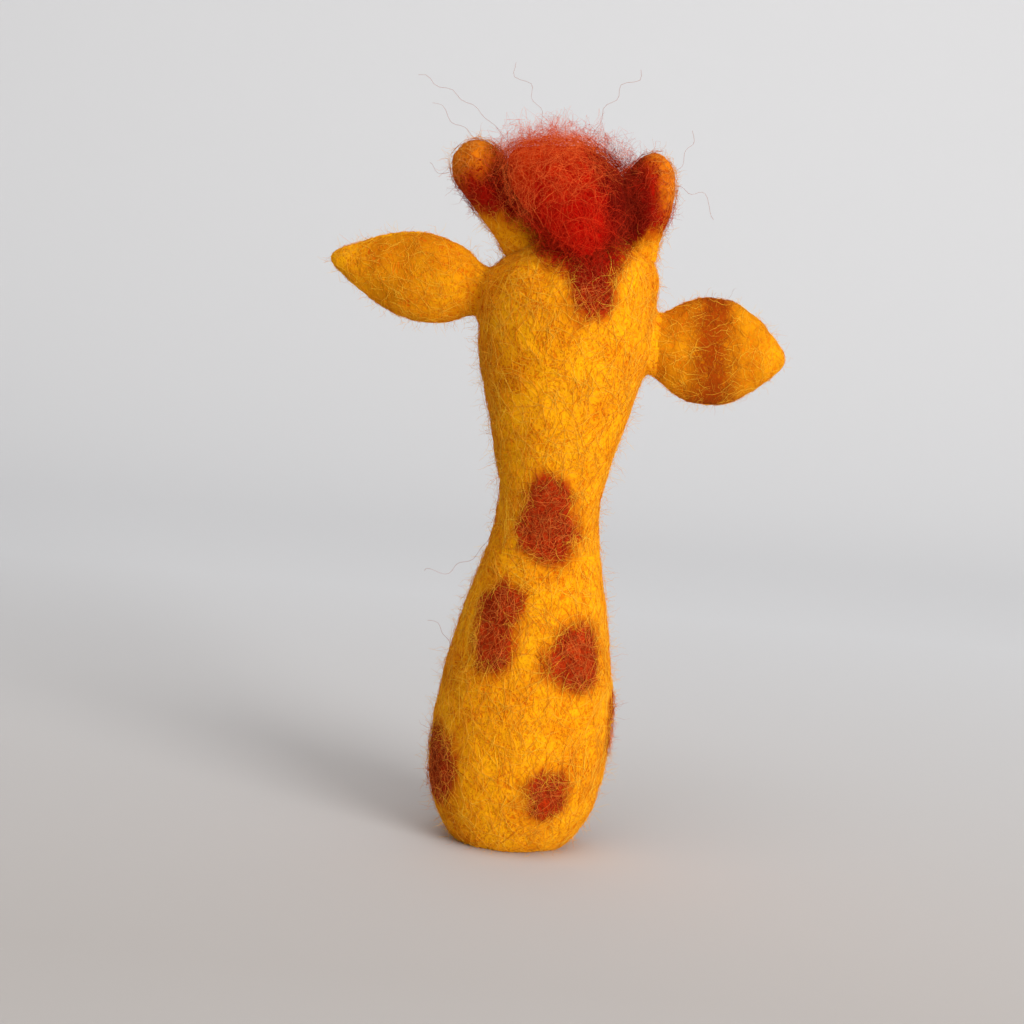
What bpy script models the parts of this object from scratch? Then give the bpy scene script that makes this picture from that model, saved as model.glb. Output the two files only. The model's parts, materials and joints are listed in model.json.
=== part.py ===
"""A needle-felted giraffe finger puppet: a hollow wool body with ears, horns, a tuft and felted-in spots.

The puppet faces -Y, its left side is +X and +Z is up. It stands on the rim of its finger hole, and
the middle of its outline is over the origin. Sizes are in metres, angles in degrees.
"""

import math
from collections import namedtuple

import bmesh
import bpy
from mathutils import Matrix, Vector

PUPPET = "giraffe_finger_puppet"

# Levels of the one felted piece that is body, neck and head
BODY_LEVEL = 0.0185      # the widest girth of the body, above the rim
BODY_TO_NECK = 0.0385
NECK_TO_HEAD = 0.0330
HEAD_TO_CROWN = 0.0135

# Girths at those levels
BODY_WIDTH = 0.0300
BODY_DEPTH = 0.0280
NECK_WIDTH = 0.0158
NECK_DEPTH = 0.0162
HEAD_WIDTH = 0.0286
HEAD_DEPTH = 0.0250

# Hand-made sway: how far each level stands to the puppet's left (+X) and to its back (+Y)
HEM_SWAY = (0.0003, 0.0)
BODY_SWAY = (-0.0003, 0.0)
NECK_SWAY = (-0.0013, 0.0010)
HEAD_SWAY = (-0.0010, 0.0018)
CROWN_SWAY = (-0.0040, 0.0018)

# Finger hole, a blind hole that is open at the rim
MOUTH_WIDTH = 0.0140
MOUTH_ROUNDING = 0.0008
FINGERTIP_WIDTH = 0.0126
WOOL_OVER_FINGERTIP = 0.0130   # solid wool between the hole and the narrowest part of the neck

# Muzzle, drawn out of the front of the head
MUZZLE_LENGTH = 0.0155
MUZZLE_WIDTH = 0.0148
MUZZLE_HEIGHT = 0.0126
MUZZLE_DROOP = 20.0
MUZZLE_BELOW_HEAD_LEVEL = 0.0040

# Ears: plump leaves, rounded at the root and pointed at the tip
LEFT_EAR_LENGTH = 0.0254
LEFT_EAR_WIDTH = 0.0143
LEFT_EAR_ABOVE_HEAD_LEVEL = 0.0012
LEFT_EAR_SWEEP = 4.0           # forward, towards the face
LEFT_EAR_RISE = 7.0
LEFT_EAR_BELLY = 1.14          # over 1 puts the widest place nearer the root, under 1 nearer the tip
RIGHT_EAR_LENGTH = 0.0250
RIGHT_EAR_WIDTH = 0.0175
RIGHT_EAR_ABOVE_HEAD_LEVEL = -0.0049
RIGHT_EAR_SWEEP = 22.0
RIGHT_EAR_RISE = -2.7
RIGHT_EAR_BELLY = 0.95
EAR_BACK = 0.0038              # how far the back of an ear bulges from its middle plane
EAR_FRONT = 0.0018
EAR_ROOT_SUNK = 0.0035         # how far an ear's form runs into the head before it is cut to its seat

# Horns: turned felt, the left one a club and the right one a short cone with a round end
LEFT_HORN_LENGTH = 0.0185
LEFT_HORN_WIDTH = 0.0086
LEFT_HORN_WIDEST = 0.0142      # how far up the horn its widest place is
LEFT_HORN_STEM = 0.0072
LEFT_HORN_ACROSS = 0.0106      # from the middle of the crown
LEFT_HORN_LEAN = 38.5
RIGHT_HORN_LENGTH = 0.0143
RIGHT_HORN_WIDTH = 0.0092
RIGHT_HORN_WIDEST = 0.0062
RIGHT_HORN_STEM = 0.0084
RIGHT_HORN_ACROSS = 0.0066
RIGHT_HORN_LEAN = 11.0
HORN_ROOT_SUNK = 0.0030

# Tuft of loose wool on the crown, which runs to a point down the back of the head
TUFT_WIDTH = 0.0212
TUFT_DEPTH = 0.0180
TUFT_ABOVE_CROWN = 0.0134
TUFT_DOWN_THE_BACK = 0.0070

# Bead eyes, and dabs of dark wool for nostrils
EYE_WIDTH = 0.0040
EYES_ABOVE_HEAD_LEVEL = 0.0030
EYE_TURN = 46.0                # from straight ahead
NOSTRIL_WIDTH = 0.0022
NOSTRIL_HEIGHT = 0.0028
NOSTRIL_SPACING = 0.0056
NOSTRILS_ABOVE_MUZZLE_AXIS = 0.0020
DAB_DEPTH = 0.0009

# Patches of rust wool felted into the body and the ears
SPOT_SIZE = 0.0100             # a plain round spot; each one has its own shares of it
PATCH_DEPTH = 0.0022           # how deep a spot goes at its middle
PATCH_WOBBLE = 0.10            # how far an outline strays from an oval, as a share of its width
LINING_OF_EAR = 0.54           # share of an ear's length and width that its lining covers
CLEARANCE = 0.0003             # gap between touching pieces

Spot = namedtuple("Spot", "name up turn width height outline_turn")

# Up is a share of the height to the crown. Turn is from the back towards the puppet's left. Width and
# height are shares of the spot size.
SPOTS = (
    Spot("nape_spot", 0.903, -14.0, 0.72, 0.92, 20.0),
    Spot("neck_spot_back", 0.535, -1.0, 0.90, 1.38, 75.0),
    Spot("shoulder_spot_left", 0.366, 34.0, 0.72, 1.42, 200.0),
    Spot("shoulder_spot_right", 0.328, -35.0, 0.98, 1.08, 130.0),
    Spot("side_spot_left", 0.130, 65.0, 0.86, 1.28, 320.0),
    Spot("rump_spot", 0.108, -22.0, 0.74, 0.78, 250.0),
    Spot("side_spot_right", 0.205, -92.0, 0.88, 0.96, 40.0),
    Spot("neck_spot_front", 0.455, 158.0, 0.80, 0.98, 280.0),
    Spot("chest_spot_left", 0.290, 128.0, 0.90, 1.06, 160.0),
    Spot("chest_spot_right", 0.262, -158.0, 0.96, 1.10, 60.0),
    Spot("belly_spot", 0.105, 150.0, 0.80, 0.76, 10.0),
    Spot("belly_spot_right", 0.090, -118.0, 0.70, 0.78, 110.0),
)

# Mesh density
CAGE_SIDES = 8
MUZZLE_SIDES = 6
SMOOTHING = 2
TURNED_STEPS = 16
PATCH_POINTS = 16
ARC_STEPS = 6

UP = Vector((0.0, 0.0, 1.0))
BACK = Vector((0.0, 1.0, 0.0))
LEFT = Vector((1.0, 0.0, 0.0))

Level = namedtuple("Level", "height width depth sway")
NECK_LEVEL = BODY_LEVEL + BODY_TO_NECK
HEAD_LEVEL = NECK_LEVEL + NECK_TO_HEAD
CROWN_LEVEL = HEAD_LEVEL + HEAD_TO_CROWN
LEVELS = (
    Level(0.0, 0.0, 0.0, Vector(HEM_SWAY)),
    Level(BODY_LEVEL, BODY_WIDTH, BODY_DEPTH, Vector(BODY_SWAY)),
    Level(NECK_LEVEL, NECK_WIDTH, NECK_DEPTH, Vector(NECK_SWAY)),
    Level(HEAD_LEVEL, HEAD_WIDTH, HEAD_DEPTH, Vector(HEAD_SWAY)),
    Level(CROWN_LEVEL, 0.0, 0.0, Vector(CROWN_SWAY)),
)

# The collections that a piece, a pocket for an inlaid piece, or any other cutter goes in
Bench = namedtuple("Bench", "pieces pockets cutters")


# Collections, materials and objects


def fresh_collection(name):
    collection = bpy.data.collections.new(name)
    bpy.context.scene.collection.children.link(collection)
    return collection


def finish(name, colour, roughness=0.95):
    material = bpy.data.materials.new(name)
    material.use_nodes = True
    shader = material.node_tree.nodes["Principled BSDF"]
    shader.inputs["Base Color"].default_value = (*colour, 1.0)
    shader.inputs["Roughness"].default_value = roughness
    shader.inputs["Metallic"].default_value = 0.0
    return material


def add_object(name, shape, collection, material=None):
    """Links a new object. Its shape is a mesh, or a bmesh that becomes a smooth-shaded one."""
    mesh = shape
    if isinstance(shape, bmesh.types.BMesh):
        mesh = bpy.data.meshes.new(name)
        shape.to_mesh(mesh)
        shape.free()
        mesh.shade_smooth()
    piece = bpy.data.objects.new(name, mesh)
    collection.objects.link(piece)
    if material:
        mesh.materials.append(material)
    return piece


def hide_as_cutter(piece):
    piece.hide_render = True
    piece.display_type = "WIRE"
    return piece


def twin(name, piece, collection):
    """Another object with the same mesh in the same place, without the modifiers."""
    copy = bpy.data.objects.new(name, piece.data)
    copy.matrix_world = piece.matrix_world.copy()
    collection.objects.link(copy)
    return copy


# Modifiers


def smooth(piece):
    modifier = piece.modifiers.new("smooth", "SUBSURF")
    modifier.levels = SMOOTHING
    modifier.render_levels = SMOOTHING


def turn_about_z(piece):
    screw = piece.modifiers.new("turn", "SCREW")
    screw.steps = TURNED_STEPS
    screw.render_steps = TURNED_STEPS
    screw.use_merge_vertices = True
    screw.merge_threshold = 0.00001
    screw.use_smooth_shade = True


def grow(piece):
    """Moves a cutter's surface out by the gap that touching pieces keep."""
    swell = piece.modifiers.new("grow", "DISPLACE")
    swell.direction = "NORMAL"
    swell.mid_level = 0.0
    swell.strength = CLEARANCE


def cut_by(piece, cutter, operation="DIFFERENCE"):
    modifier = piece.modifiers.new(f"{operation.lower()}_{cutter.name}", "BOOLEAN")
    modifier.operation = operation
    modifier.solver = "EXACT"
    modifier.object = cutter


def cut_by_all(piece, collection):
    modifier = piece.modifiers.new("pockets", "BOOLEAN")
    modifier.operation = "DIFFERENCE"
    modifier.solver = "EXACT"
    modifier.operand_type = "COLLECTION"
    modifier.collection = collection


# Felted forms: a coarse cage of oval rings, smoothed


def swell_of(sides):
    """What a smoothed ring of that many corners has to be enlarged by to come out at its true size."""
    return 3 / (2 + math.cos(math.tau / sides))


def oval_ring(verts, centre, half_width, half_back, half_front):
    """Puts a cage ring's corners round an oval, with one face of the cage square to each side."""
    for index, vert in enumerate(verts):
        angle = (index + 0.5) * math.tau / len(verts)
        across = math.cos(angle) * swell_of(CAGE_SIDES)
        along = math.sin(angle) * swell_of(CAGE_SIDES)
        half_depth = half_back if along > 0 else half_front
        vert.co = centre + LEFT * across * half_width + BACK * along * half_depth


def loft(sections):
    """A closed cage through (centre, half width, half back, half front) rings, from the lowest up."""
    cage = bmesh.new()
    bmesh.ops.create_circle(cage, cap_ends=True, segments=CAGE_SIDES, radius=1.0)
    cage.faces.ensure_lookup_table()
    end = cage.faces[0]
    oval_ring(end.verts, *sections[0])
    for section in sections[1:]:
        end = bmesh.ops.extrude_discrete_faces(cage, faces=[end])["faces"][0]
        oval_ring(end.verts, *section)
    rim = [edge for edge in cage.edges if edge.is_boundary]
    bmesh.ops.holes_fill(cage, edges=rim, sides=CAGE_SIDES)
    bmesh.ops.recalc_face_normals(cage, faces=cage.faces)
    return cage


def between(low, high, share):
    return low + (high - low) * share


def body_sections():
    """Rings from under the rim to the crown. A row is a share of the way up, and of the change in girth."""
    hem_up = ((-0.24, 0.10), (-0.08, 0.51), (0.12, 0.78), (0.46, 0.96), (1.0, 1.0))
    body_up = ((0.25, 0.12), (0.50, 0.40), (0.75, 0.73), (1.0, 1.03))
    neck_up = ((0.20, 0.20), (0.45, 0.52), (0.70, 0.87), (0.90, 1.0), (1.10, 1.0))
    head_up = ((0.46, 0.09), (0.78, 0.34), (1.00, 0.76))
    sections = []
    for low, high, rows in zip(LEVELS, LEVELS[1:], (hem_up, body_up, neck_up, head_up)):
        for up, girth in rows:
            sway = low.sway.lerp(high.sway, min(max(up, 0.0), 1.0))
            centre = Vector((*sway, between(low.height, high.height, up)))
            half_width = between(low.width, high.width, girth) / 2
            half_depth = between(low.depth, high.depth, girth) / 2
            sections.append((centre, half_width, half_depth, half_depth))
    return sections


def spine(height):
    """The middle of the felt at a height."""
    for low, high in zip(LEVELS, LEVELS[1:]):
        if height <= high.height:
            break
    share = (height - low.height) / (high.height - low.height)
    return Vector((*low.sway.lerp(high.sway, min(share, 1.0)), height))


# Muzzle


def muzzle_axis():
    """Where the muzzle leaves the head, the direction along it, and the way up that is square to that."""
    droop = math.radians(MUZZLE_DROOP)
    root = spine(HEAD_LEVEL - MUZZLE_BELOW_HEAD_LEVEL) - BACK * HEAD_DEPTH / 2
    forward = -BACK * math.cos(droop) - UP * math.sin(droop)
    return root, forward, forward.cross(LEFT)


def corner_angle(across, above):
    """Which of six even places round the muzzle a corner takes, two of them level with its axis."""
    step = math.tau / MUZZLE_SIDES
    if abs(above) < abs(across) / 2:
        return 0.0 if across > 0 else math.pi
    return math.copysign(step if across > 0 else 2 * step, above)


def draw_out_muzzle(cage):
    """Extrudes two faces at the front of the head into the muzzle, ring by ring along its axis."""
    root, forward, top = muzzle_axis()
    front = []
    for face in cage.faces:
        middle = face.calc_center_median()
        at_front = middle.y < root.y + HEAD_DEPTH / 4 and abs(middle.x - root.x) < HEAD_WIDTH / 8
        if at_front and abs(middle.z - root.z) < NECK_TO_HEAD * 0.22:
            front.append(face)
    # Share of the muzzle's length, and of its width and height
    for reach, girth in ((0.14, 1.20), (0.52, 0.94), (0.84, 0.99), (1.04, 0.62)):
        raised = bmesh.ops.extrude_face_region(cage, geom=front)["geom"]
        bmesh.ops.delete(cage, geom=front, context="FACES")
        front = [item for item in raised if isinstance(item, bmesh.types.BMFace)]
        corners = {vert for face in front for vert in face.verts}
        heart = sum((vert.co for vert in corners), Vector()) / len(corners)
        centre = root + forward * MUZZLE_LENGTH * reach
        size = girth * swell_of(MUZZLE_SIDES) / 2
        for vert in corners:
            angle = corner_angle(vert.co.x - heart.x, vert.co.z - heart.z)
            across = LEFT * math.cos(angle) * MUZZLE_WIDTH * size
            above = top * math.sin(angle) * MUZZLE_HEIGHT * size
            vert.co = centre + across + above
    bmesh.ops.recalc_face_normals(cage, faces=cage.faces)


# Places on the felt


def cast(felt, start, direction):
    """The point of a piece's surface along a ray from inside it, and the way out of it there."""
    shown = felt.evaluated_get(bpy.context.evaluated_depsgraph_get())
    into = felt.matrix_world.inverted()
    hit, place, normal, _ = shown.ray_cast(into @ start, into.to_3x3() @ direction)
    if not hit:
        raise ValueError(f"nothing of {felt.name} lies that way")
    return felt.matrix_world @ place, (felt.matrix_world.to_3x3() @ normal).normalized()


def turned_from_back(degrees):
    """The level direction that many degrees round from the back towards the puppet's left."""
    angle = math.radians(degrees)
    return LEFT * math.sin(angle) + BACK * math.cos(angle)


def axes_at(place, across, along, out):
    """A matrix with its origin at a place and its X, Y and Z along three directions."""
    return Matrix.Translation(place) @ Matrix((across, along, out)).transposed().to_4x4()


def facing(place, out, up=UP):
    """A matrix at a place with its Z outwards and its Y as near up as it can be."""
    across = up.cross(out).normalized()
    return axes_at(place, across, out.cross(across), out)


# Patches: plugs of coloured wool, flush with the felt, in pockets of their own outline


def plug(width, height, depth, outline_turn):
    """A plug with flat ends and a wavy oval outline, reaching as far out of the felt as into it."""
    shape = bmesh.new()
    bmesh.ops.create_cone(
        shape, cap_ends=True, segments=PATCH_POINTS, radius1=1.0, radius2=1.0, depth=2.0
    )
    for vert in shape.verts:
        angle = math.atan2(vert.co.y, vert.co.x)
        three_lobes = math.cos(3 * angle + math.radians(outline_turn))
        four_lobes = math.cos(4 * angle)
        reach = 1.0 + PATCH_WOBBLE * (three_lobes - four_lobes / 2)
        vert.co.x *= reach * width / 2
        vert.co.y *= reach * height / 2
        vert.co.z *= depth
    return shape


def add_patch(name, place, width, height, depth, outline_turn, felt, bench, material):
    """A felted-in patch, flush with a felt form, and the pocket that holds it."""
    patch = add_object(name, plug(width, height, depth, outline_turn), bench.pieces, material)
    patch.matrix_world = place
    cut_by(patch, felt, "INTERSECT")
    room = 2 * CLEARANCE
    hole = plug(width + room, height + room, depth + CLEARANCE, outline_turn)
    pocket = add_object(f"{name}_pocket", hole, bench.pockets)
    pocket.matrix_world = place
    hide_as_cutter(pocket)


def add_spots(blank, bench, material):
    for spot in SPOTS:
        centre, out = cast(blank, spine(CROWN_LEVEL * spot.up), turned_from_back(spot.turn))
        add_patch(
            spot.name, facing(centre, out), spot.width * SPOT_SIZE, spot.height * SPOT_SIZE,
            PATCH_DEPTH, spot.outline_turn, blank, bench, material,
        )


def add_nostrils(blank, bench, material):
    root, forward, top = muzzle_axis()
    for side, across in (("left", LEFT), ("right", -LEFT)):
        inside = root + forward * MUZZLE_LENGTH / 2
        inside += across * NOSTRIL_SPACING / 2 + top * NOSTRILS_ABOVE_MUZZLE_AXIS
        centre, out = cast(blank, inside, forward)
        add_patch(
            f"{side}_nostril", facing(centre, out), NOSTRIL_WIDTH, NOSTRIL_HEIGHT, DAB_DEPTH,
            0.0, blank, bench, material,
        )


# Eyes


def ball(width):
    shape = bmesh.new()
    bmesh.ops.create_uvsphere(shape, u_segments=12, v_segments=8, radius=width / 2)
    return shape


def add_eyes(blank, bench, material):
    """Bead eyes, sunk to their middle in round sockets."""
    eye_line = spine(HEAD_LEVEL + EYES_ABOVE_HEAD_LEVEL)
    for side, turn in (("left", 180.0 - EYE_TURN), ("right", EYE_TURN - 180.0)):
        centre, out = cast(blank, eye_line, turned_from_back(turn))
        eye = add_object(f"{side}_eye", ball(EYE_WIDTH), bench.pieces, material)
        eye.matrix_world = facing(centre, out)
        socket = add_object(f"{side}_eye_socket", ball(EYE_WIDTH + 2 * CLEARANCE), bench.pockets)
        socket.matrix_world = facing(centre, out)
        hide_as_cutter(socket)


# Ears


def ear_cage(length, width, belly):
    """An ear standing on its root along local Z, with its back towards +Y."""
    # Share of the length, of the width, and of the thickness
    rows = (
        (0.02, 0.52, 0.70),
        (0.15, 0.85, 0.98),
        (0.33, 1.05, 1.08),
        (0.53, 1.03, 1.00),
        (0.72, 0.79, 0.80),
        (0.88, 0.42, 0.54),
        (1.01, 0.13, 0.22),
    )
    sections = [(-UP * EAR_ROOT_SUNK, width * 0.17, EAR_BACK * 0.40, EAR_FRONT * 0.60)]
    for up, across, thick in rows:
        centre = UP * length * up**belly
        sections.append((centre, width * across / 2, EAR_BACK * thick, EAR_FRONT * thick))
    return loft(sections)


def add_ear(
    side, length, width, above_head_level, sweep, rise, belly, blank, grown_blank, bench, gold, rust
):
    """A felted ear, cut to its seat on the side of the head, with a lining inlaid in its front."""
    outward = LEFT if side == "left" else -LEFT
    seat, _ = cast(blank, spine(HEAD_LEVEL + above_head_level), outward)
    level = outward * math.cos(math.radians(sweep)) - BACK * math.sin(math.radians(sweep))
    along = level * math.cos(math.radians(rise)) + UP * math.sin(math.radians(rise))
    across = BACK.cross(along).normalized()
    back = along.cross(across)
    ear = add_object(f"{side}_ear", ear_cage(length, width, belly), bench.pieces, gold)
    ear.matrix_world = axes_at(seat, across, back, along)
    smooth(ear)
    ear_blank = hide_as_cutter(twin(f"{side}_ear_blank", ear, bench.cutters))
    smooth(ear_blank)
    bpy.context.view_layer.update()
    lining_bench = Bench(bench.pieces, fresh_collection(f"{side}_ear_pockets"), bench.cutters)
    centre, out = cast(ear_blank, seat + along * length * 0.46, -back)
    add_patch(
        f"{side}_ear_lining", facing(centre, out, along), width * LINING_OF_EAR,
        length * LINING_OF_EAR, DAB_DEPTH, 90.0, ear_blank, lining_bench, rust,
    )
    cut_by(ear, grown_blank)
    cut_by_all(ear, lining_bench.pockets)


# Turned pieces


def arc(centre_x, centre_z, radius, from_degrees, to_degrees):
    """Points along an arc of a profile, both ends included."""
    line = []
    for step in range(ARC_STEPS + 1):
        angle = math.radians(between(from_degrees, to_degrees, step / ARC_STEPS))
        line.append((centre_x + radius * math.cos(angle), centre_z + radius * math.sin(angle)))
    return line


def turned(name, line, collection, material=None):
    """A profile of (x, z) points down its outer side, turned about local Z."""
    mesh = bpy.data.meshes.new(name)
    points = [(x, 0.0, z) for x, z in line]
    mesh.from_pydata(points, [(index, index + 1) for index in range(len(points) - 1)], [])
    piece = add_object(name, mesh, collection, material)
    turn_about_z(piece)
    return piece


def horn_profile(length, width, widest, stem_width):
    """From the top of the rounded end down to the root that is cut off at the seat."""
    stem = stem_width / 2
    line = [(x * width / 2, widest + z * (length - widest)) for x, z in arc(0.0, 0.0, 1.0, 90, 0)]
    taper_steps = 4
    for step in range(1, taper_steps + 1):
        share = step / taper_steps
        ease = (1 - math.cos(math.pi * share)) / 2
        line.append((between(width / 2, stem, ease), between(widest, 0.0, share)))
    line.append((stem, -HORN_ROOT_SUNK * 0.7))
    line.append((0.0, -HORN_ROOT_SUNK))
    return line


def add_horn(side, profile, across, lean, blank, grown_blank, bench, material):
    """A horn cut to its seat on the crown. Returns the cutter that keeps the tuft clear of it."""
    outward = LEFT if side == "left" else -LEFT
    inside = spine(HEAD_LEVEL)
    inside.x = CROWN_SWAY[0] + outward.x * across
    seat, _ = cast(blank, inside, UP)
    horn = turned(f"{side}_horn", profile, bench.pieces, material)
    horn.matrix_world = Matrix.Translation(seat) @ Matrix.Rotation(
        math.radians(lean) * outward.x, 4, "Y"
    )
    cut_by(horn, grown_blank)
    grown_horn = hide_as_cutter(twin(f"{side}_horn_grown", horn, bench.cutters))
    turn_about_z(grown_horn)
    grow(grown_horn)
    return grown_horn


def add_finger_room(bench):
    """The room for a finger: a rounded mouth, a slight taper and a domed end."""
    mouth = MOUTH_WIDTH / 2 + MOUTH_ROUNDING
    tip = FINGERTIP_WIDTH / 2
    deep = NECK_LEVEL - WOOL_OVER_FINGERTIP
    line = arc(0.0, deep - tip, tip, 90, 0)
    line += arc(mouth, MOUTH_ROUNDING, -MOUTH_ROUNDING, 0, 90)
    line += [(mouth, -MOUTH_WIDTH), (0.0, -MOUTH_WIDTH)]
    room = turned("finger_room", line, bench.cutters)
    room.location = (*HEM_SWAY, 0.0)
    return hide_as_cutter(room)


# Tuft


def add_tuft(grown_blank, grown_horns, bench, material):
    """A puff of loose wool over the crown that narrows to a point behind the head."""
    top = CROWN_LEVEL + TUFT_ABOVE_CROWN
    low = CROWN_LEVEL - TUFT_DOWN_THE_BACK
    behind = HEAD_SWAY[1] + HEAD_DEPTH * 0.43
    # Share of the height, of the way in from behind the head, of the width, of the depth, and of the
    # drift to the puppet's left
    rows = (
        (0.00, 0.00, 0.20, 0.14, 0.10),
        (0.20, 0.12, 0.56, 0.40, 0.22),
        (0.44, 0.55, 0.94, 0.86, 0.49),
        (0.68, 0.84, 1.06, 1.04, 0.70),
        (0.88, 0.92, 0.88, 0.90, 0.89),
        (0.99, 0.94, 0.46, 0.50, 1.00),
    )
    drift = TUFT_WIDTH * 0.35
    sections = []
    for up, inward, width, depth, aside in rows:
        x = CROWN_SWAY[0] + drift * aside
        y = between(behind, CROWN_SWAY[1], inward)
        half_depth = TUFT_DEPTH * depth / 2
        centre = Vector((x, y, between(low, top, up)))
        sections.append((centre, TUFT_WIDTH * width / 2, half_depth, half_depth))
    tuft = add_object("tuft", loft(sections), bench.pieces, material)
    smooth(tuft)
    cut_by(tuft, grown_blank)
    for grown_horn in grown_horns:
        cut_by(tuft, grown_horn)


# The body


def add_table(bench):
    """What lies under the rim, so that the puppet stands on a flat ring of felt."""
    side = 4 * BODY_WIDTH
    block = bmesh.new()
    bmesh.ops.create_cube(block, size=side)
    bmesh.ops.translate(block, verts=block.verts, vec=-UP * side / 2)
    return hide_as_cutter(add_object("table", block, bench.cutters))


def add_body(bench, material):
    """The body, and two cutters of its form: as it is, and grown by the gap to what sits on it."""
    cage = loft(body_sections())
    draw_out_muzzle(cage)
    body = add_object("body", cage, bench.pieces, material)
    smooth(body)
    blank = hide_as_cutter(twin("felt_blank", body, bench.cutters))
    smooth(blank)
    grown_blank = hide_as_cutter(twin("felt_blank_grown", body, bench.cutters))
    smooth(grown_blank)
    grow(grown_blank)
    bpy.context.view_layer.update()
    return body, blank, grown_blank


# The puppet


def clear_scene():
    for leftover in list(bpy.data.objects):
        bpy.data.objects.remove(leftover)


def stand_over_origin(pieces):
    """Moves the puppet so that the middle of its outline, seen from above, is over the origin."""
    bpy.context.view_layer.update()
    scene_graph = bpy.context.evaluated_depsgraph_get()
    corners = []
    for piece in pieces.objects:
        shown = piece.evaluated_get(scene_graph)
        corners += [piece.matrix_world @ vert.co for vert in shown.data.vertices]
    stand = bpy.data.objects.new("stand", None)
    for piece in bpy.data.objects:
        if piece is not stand:
            piece.parent = stand
    bpy.context.scene.collection.objects.link(stand)
    for axis in (0, 1):
        reach = [corner[axis] for corner in corners]
        stand.location[axis] = -(min(reach) + max(reach)) / 2


def main():
    clear_scene()
    bench = Bench(fresh_collection(PUPPET), fresh_collection("pockets"), fresh_collection("cutters"))
    gold = finish("gold_wool", (0.85, 0.34, 0.012))
    rust = finish("rust_wool", (0.42, 0.065, 0.008))
    brown = finish("horn_wool", (0.40, 0.075, 0.010))
    red = finish("red_wool", (0.58, 0.040, 0.006))
    dark = finish("dark_wool", (0.06, 0.018, 0.010))
    bead = finish("black_bead", (0.010, 0.008, 0.008), roughness=0.15)

    body, blank, grown_blank = add_body(bench, gold)
    add_spots(blank, bench, rust)
    add_eyes(blank, bench, bead)
    add_nostrils(blank, bench, dark)
    add_ear(
        "left", LEFT_EAR_LENGTH, LEFT_EAR_WIDTH, LEFT_EAR_ABOVE_HEAD_LEVEL, LEFT_EAR_SWEEP,
        LEFT_EAR_RISE, LEFT_EAR_BELLY, blank, grown_blank, bench, gold, rust,
    )
    add_ear(
        "right", RIGHT_EAR_LENGTH, RIGHT_EAR_WIDTH, RIGHT_EAR_ABOVE_HEAD_LEVEL, RIGHT_EAR_SWEEP,
        RIGHT_EAR_RISE, RIGHT_EAR_BELLY, blank, grown_blank, bench, gold, rust,
    )
    left_profile = horn_profile(LEFT_HORN_LENGTH, LEFT_HORN_WIDTH, LEFT_HORN_WIDEST, LEFT_HORN_STEM)
    left_grown = add_horn(
        "left", left_profile, LEFT_HORN_ACROSS, LEFT_HORN_LEAN, blank, grown_blank, bench, brown
    )
    right_profile = horn_profile(
        RIGHT_HORN_LENGTH, RIGHT_HORN_WIDTH, RIGHT_HORN_WIDEST, RIGHT_HORN_STEM
    )
    right_grown = add_horn(
        "right", right_profile, RIGHT_HORN_ACROSS, RIGHT_HORN_LEAN, blank, grown_blank, bench, brown
    )
    add_tuft(grown_blank, (left_grown, right_grown), bench, red)
    cut_by(body, add_finger_room(bench))
    cut_by(body, add_table(bench))
    cut_by_all(body, bench.pockets)
    stand_over_origin(bench.pieces)


main()
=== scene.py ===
# %% [markdown]
# # A needle-felted giraffe on a finger's width of wool
#
# The real puppet is a hollow body of golden wool, stabbed firm with a barbed needle, with ears, horns,
# a tuft of loose wool, and rust spots felted in. This lesson dresses the modelled solids in wool. Every
# piece starts from the solid it stands for, so it sits where that solid sits. Lengths are in metres.

# %% Load the modelled puppet
import json
import math

import bmesh
import bpy
import numpy as np
from mathutils import Matrix, Vector
from mathutils.bvhtree import BVHTree

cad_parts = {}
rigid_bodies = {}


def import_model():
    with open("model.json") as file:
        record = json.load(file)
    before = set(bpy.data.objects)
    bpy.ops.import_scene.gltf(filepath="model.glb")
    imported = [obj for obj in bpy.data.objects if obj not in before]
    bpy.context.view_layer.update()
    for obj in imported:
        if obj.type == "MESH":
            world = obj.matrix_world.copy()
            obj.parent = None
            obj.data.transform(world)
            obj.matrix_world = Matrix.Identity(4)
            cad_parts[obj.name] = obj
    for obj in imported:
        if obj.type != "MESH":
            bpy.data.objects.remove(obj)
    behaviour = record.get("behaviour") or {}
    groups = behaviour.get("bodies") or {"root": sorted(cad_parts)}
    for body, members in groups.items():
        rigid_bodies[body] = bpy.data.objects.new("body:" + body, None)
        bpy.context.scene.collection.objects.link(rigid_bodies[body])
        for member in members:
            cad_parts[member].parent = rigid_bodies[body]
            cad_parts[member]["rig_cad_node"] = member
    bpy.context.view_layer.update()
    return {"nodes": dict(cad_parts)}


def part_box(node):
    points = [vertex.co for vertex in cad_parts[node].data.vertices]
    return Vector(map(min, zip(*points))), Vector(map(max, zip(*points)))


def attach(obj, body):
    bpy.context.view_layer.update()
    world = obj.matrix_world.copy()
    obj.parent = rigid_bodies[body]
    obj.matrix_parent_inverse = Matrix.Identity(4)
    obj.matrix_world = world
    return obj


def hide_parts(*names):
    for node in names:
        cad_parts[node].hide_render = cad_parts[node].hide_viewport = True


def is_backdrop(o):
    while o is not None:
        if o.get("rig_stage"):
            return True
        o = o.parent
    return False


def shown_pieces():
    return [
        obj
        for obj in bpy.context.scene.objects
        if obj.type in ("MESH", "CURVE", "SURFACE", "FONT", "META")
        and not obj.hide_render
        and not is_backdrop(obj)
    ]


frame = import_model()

MM = 0.001
SPOT_NODES = sorted(name for name in frame["nodes"] if "spot" in name)
print("spots felted into the body:", len(SPOT_NODES))

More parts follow.
